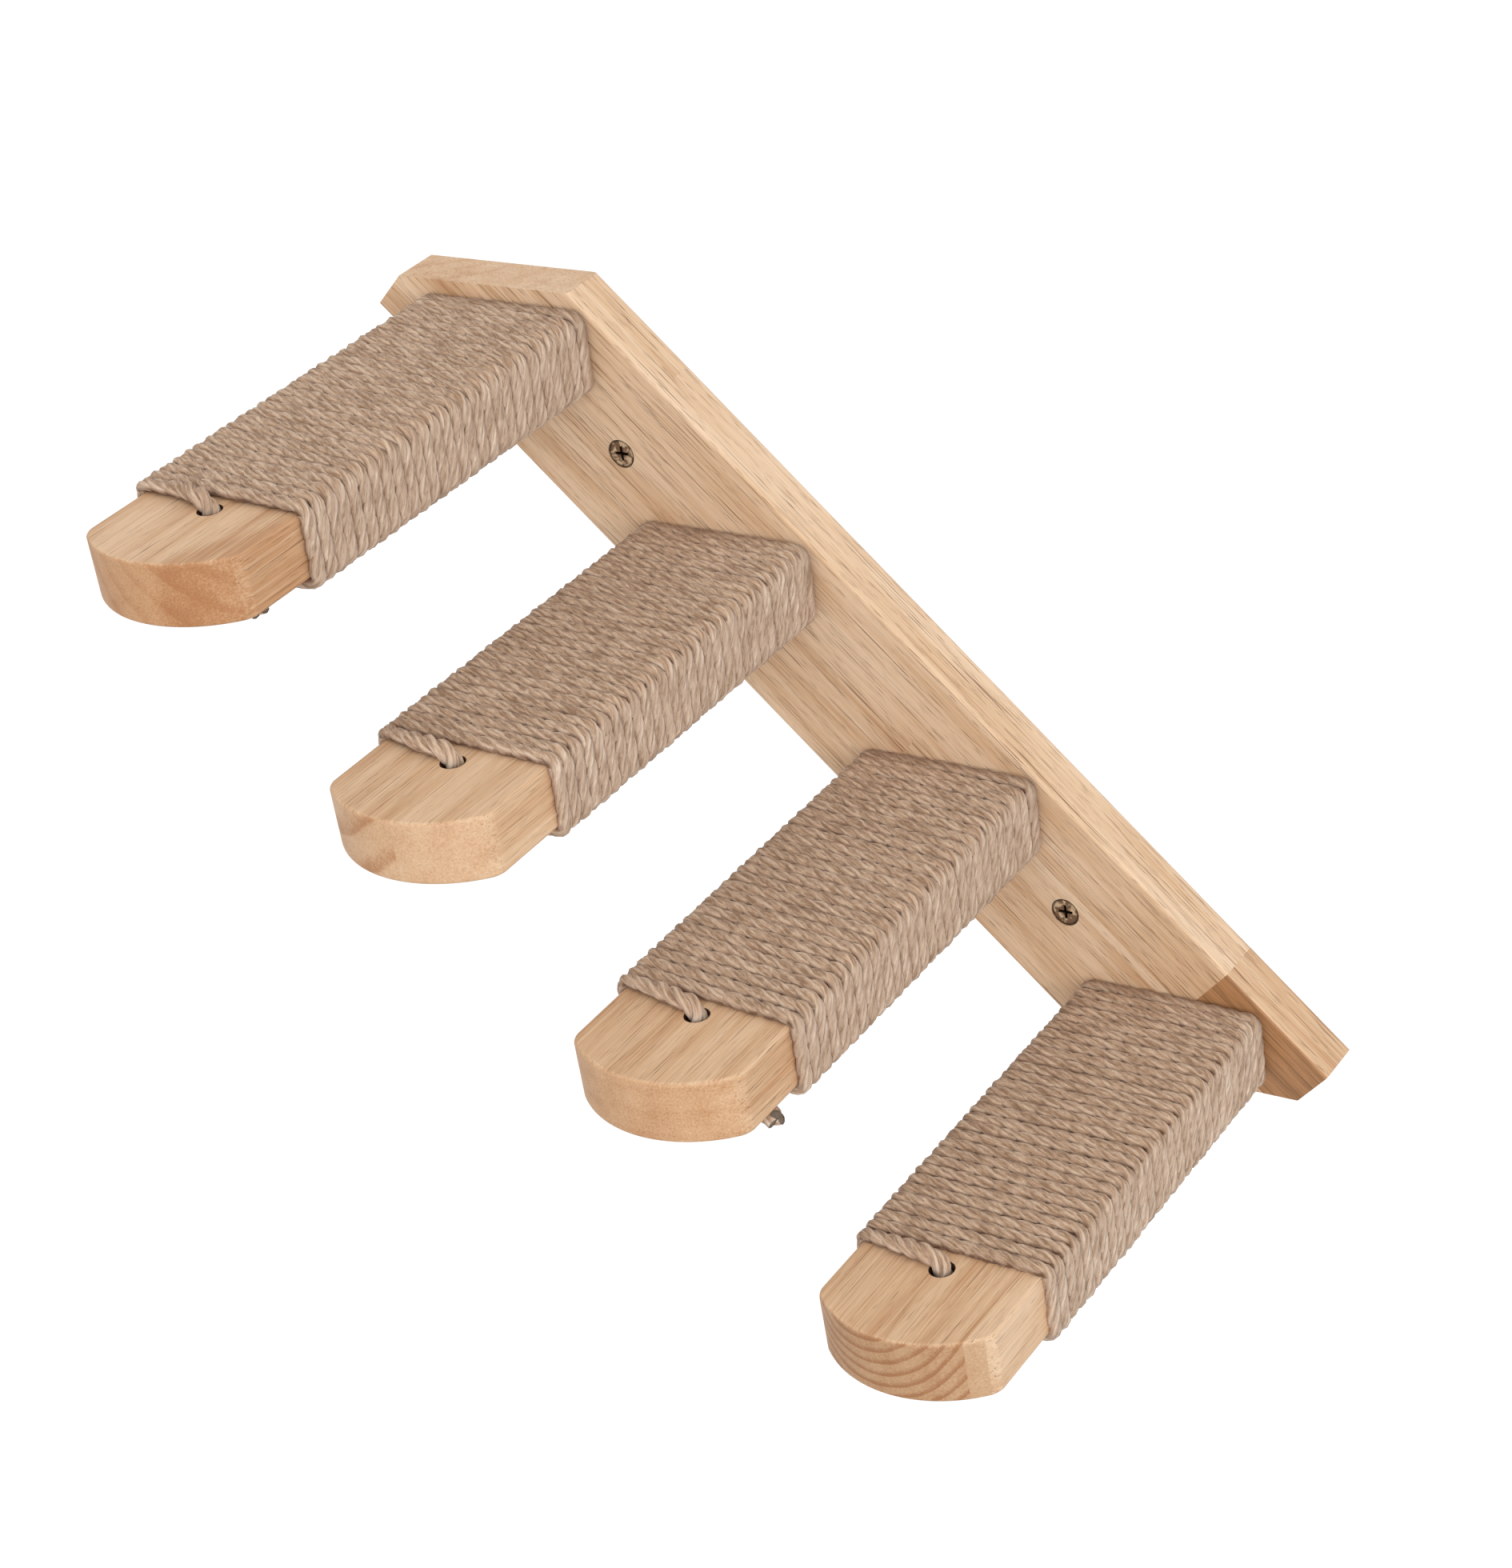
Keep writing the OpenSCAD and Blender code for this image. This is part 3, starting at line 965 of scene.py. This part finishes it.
for number, name in enumerate(tread_names, 1):
    wrap = rope_wraps[name] | rope_ends[name]
    wander = np.random.default_rng(number)
    winding = winding_line(name, wrap, wander)
    length = length_along(winding.line)[-1]
    mesh = rope_mesh(f"rope_winding_{number}", strand_lines(winding, wrap, wander))
    mesh.materials.append(jute_finish(f"jute_{number}", name, length, wrap["lift"]))
    rope = bpy.data.objects.new(f"rope_winding_{number}", mesh)
    scene.collection.objects.link(rope)
    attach(rope, "root")
    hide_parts(f"rope_wrap_{number}")
    print(rope.name, "has", wrap["turns"], "turns,", round(length), "mm,", len(mesh.polygons), "faces")

# %% [markdown]
# ## Screws
# The wall screws are steel with a dark bronze plating. Their heads get painted glints in patches
# between the recess and the rim, and painted shade in the recess, round the rim and in the thread.
# The tread screws behind the plank are plain zinc. The solids already have heads with a recess,
# cones and points, so they keep their shape and only get metal finishes. The glints follow the
# distance from the screw's axis, the painted shade in the recess follows the depth below the head,
# and the thread is a bump that climbs with the angle.

# %% Wall screws
bronze_dark = paint(112, 82, 58)
# The next colour is a painted glint.
bronze_glint = paint(216, 186, 150)
# The next colour is painted shade for the recess, the rim and the thread.
bronze_shade = paint(34, 24, 18)
bronze_blotch, glint_blotches = 2.1, (0.46, 0.60)
glint_share, rim_shade_share, groove_shade_share = 0.7, 0.8, 0.5

# Distances from the axis and depths below the head, in millimetres, where each starts and is full.
glint_radii, recess_radii, rim_radii = (1.2, 2.6), (2.6, 3.2), (3.9, 4.7)
recess_mouth, recess_floor, thread_start = (0.1, 0.8), (2.2, 2.8), (8.0, 8.5)
thread_pitch, thread_flank, thread_relief = 2.2, (0.35, 0.9), 0.7 * MM


def bronze_finish(name):
    """Bronze plating with painted glints and shade for the wall screw of that name, whose head looks at
    the room.
    """
    centre, head = middle(name), box_in_mm(name)[0].y
    finish = Finish(f"{name}_bronze")
    x, y, z = finish.place_in_mm()
    out_x, out_z, sunk = x - centre.x, z - centre.z, y - head
    radius = distance(out_x, out_z)
    blotch = finish.noise(x / bronze_blotch, y / bronze_blotch, z / bronze_blotch)
    # Painted glints: pale patches on the plating between the recess and the rim.
    glint = radius.ease(*glint_radii) * blotch.ease(*glint_blotches)
    # Painted shade in the recess, darkest between its mouth and its floor.
    recess_shade = sunk.ease(*recess_mouth) * (1 - sunk.ease(*recess_floor))
    recess_shade = recess_shade * (1 - radius.ease(*recess_radii))
    # Painted shade round the rim of the head.
    rim_shade = radius.ease(*rim_radii)
    turn = out_x.maths("ARCTAN2", out_z, out_x) / (2 * math.pi) + sunk / thread_pitch
    flank = abs(turn.maths("FRACT", turn) - 0.5) * 2
    groove = (1 - flank.ease(*thread_flank)) * sunk.ease(*thread_start)
    colour = finish.mix(glint * glint_share, bronze_dark, bronze_glint)
    # Painted shade round the rim, in the recess and in the thread groove.
    for share in (rim_shade * rim_shade_share, recess_shade, groove * groove_shade_share):
        colour = finish.mix(share, colour, bronze_shade)
    return finish.surface(
        height=blotch * 0.2 - groove,
        depth=thread_relief,
        Base_Color=colour,
        Metallic=0.75 - recess_shade * 0.5,
        Roughness=0.45 - glint * 0.12 + (blotch - 0.5) * 0.2,
    )


# %% Tread screws
zinc_grey = paint(176, 178, 180)
zinc_dull = paint(140, 141, 140)
zinc_blotch, zinc_cut, zinc_relief = 2.2, (0.35, 0.7), 0.08 * MM


def zinc_finish(name):
    """Bright zinc with faint blotches."""
    finish = Finish(name)
    x, y, z = finish.place_in_mm()
    blotch = finish.noise(x / zinc_blotch, y / zinc_blotch, z / zinc_blotch, detail=3.0)
    return finish.surface(
        height=blotch,
        depth=zinc_relief,
        Base_Color=finish.mix(blotch.ease(*zinc_cut), zinc_dull, zinc_grey),
        Metallic=1.0,
        Roughness=0.34 + (blotch - 0.5) * 0.3,
    )


# %% Finishes on the screws
zinc = zinc_finish("zinc_plating")
for name in nodes:
    if name.startswith("wall_screw"):
        put_finish(name, bronze_finish(name))
    elif "_screw_" in name:
        put_finish(name, zinc)
print("screws with a finish:", sum("screw" in name for name in nodes))
